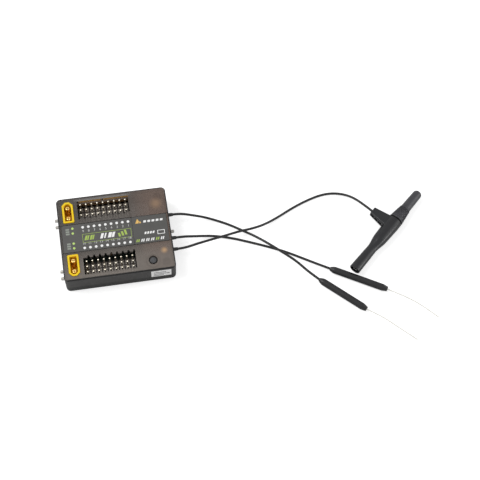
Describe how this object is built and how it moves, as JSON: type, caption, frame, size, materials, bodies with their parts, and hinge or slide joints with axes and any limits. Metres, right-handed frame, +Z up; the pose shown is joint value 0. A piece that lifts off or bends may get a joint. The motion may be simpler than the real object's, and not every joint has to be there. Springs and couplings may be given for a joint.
{
  "type": "rc receiver",
  "caption": "Radio control receiver in a smoky case with keyed servo headers, power sockets, bind button, two whip antennas and a T antenna on coaxial leads.",
  "frame": {"origin": "centre of the case's flat underside, on the surface that it stands on", "axes": "+X along the case towards the antenna leads, +Y to the back, +Z up out of the servo pins"},
  "size_m": [0.1705, 0.085, 0.0133],
  "materials": {
    "smoke_plastic": "smoky translucent polycarbonate, satin",
    "dark_plastic": "moulded, fine satin",
    "screw_steel": "zinc plated",
    "label_film": "printed film, satin",
    "side_label_film": "printed white film",
    "button_plastic": "moulded, satin",
    "lens_plastic": "clear moulded plastic",
    "board_laminate": "solder mask on glass-fibre board",
    "switch_plastic": "moulded",
    "plunger_plastic": "moulded",
    "tinned_metal": "tinned",
    "lamp_resin": "clear resin",
    "chip_resin": "moulded epoxy",
    "capacitor_ceramic": "fired ceramic",
    "gold_plate": "gold plated brass",
    "header_plastic": "moulded",
    "socket_plastic": "moulded yellow nylon",
    "antenna_plastic": "moulded, satin",
    "ring_rubber": "moulded",
    "sleeve_rubber": "moulded",
    "lead_jacket": "extruded fluoropolymer",
    "whip_sleeve_plastic": "shrunk tubing",
    "whip_wire_film": "white insulation"
  },
  "bodies": {
    "receiver": {"antenna_lead_1": "lead_jacket", "antenna_lead_2": "lead_jacket", "antenna_lead_3": "lead_jacket", "capacitors": "capacitor_ceramic", "case_bottom": "dark_plastic", "case_screws": "screw_steel", "case_top": "smoke_plastic", "circuit_board": "board_laminate", "coax_board_sockets": "gold_plate", "coax_plug_1": "gold_plate", "coax_plug_2": "gold_plate", "coax_plug_3": "gold_plate", "crystal": "tinned_metal", "gyro_module": "chip_resin", "label_end_panel": "label_film", "label_main": "label_film", "lead_sleeve_1": "sleeve_rubber", "lead_sleeve_2": "sleeve_rubber", "lead_sleeve_3": "sleeve_rubber", "power_contacts_back": "gold_plate", "power_contacts_front": "gold_plate", "power_socket_back": "socket_plastic", "power_socket_front": "socket_plastic", "processor": "chip_resin", "servo_header_back": "header_plastic", "servo_header_front": "header_plastic", "servo_pins_back_ground": "gold_plate", "servo_pins_back_power": "gold_plate", "servo_pins_back_signal": "gold_plate", "servo_pins_front_ground": "gold_plate", "servo_pins_front_power": "gold_plate", "servo_pins_front_signal": "gold_plate", "shield_can_back": "tinned_metal", "shield_can_front": "tinned_metal", "side_label": "side_label_film", "side_lamps": "lamp_resin", "side_lenses": "lens_plastic", "switch_base": "switch_plastic", "switch_legs": "tinned_metal", "tee_body": "antenna_plastic", "tee_collar": "antenna_plastic", "tee_end_tube": "tinned_metal", "tee_ring": "ring_rubber", "tee_upper_barrel": "antenna_plastic", "voltage_regulators": "chip_resin", "whip_sleeve_1": "whip_sleeve_plastic", "whip_sleeve_2": "whip_sleeve_plastic", "whip_wire_1": "whip_wire_film", "whip_wire_2": "whip_wire_film"},
    "button": {"bind_button": "button_plastic", "switch_plunger": "plunger_plastic"}
  },
  "joints": [
    {"name": "button_press", "type": "slide", "parent": "receiver", "child": "button", "axis": [0, 0, -1], "range_m": [0, 0.0003], "stiffness_N_per_m": 800}
  ]
}
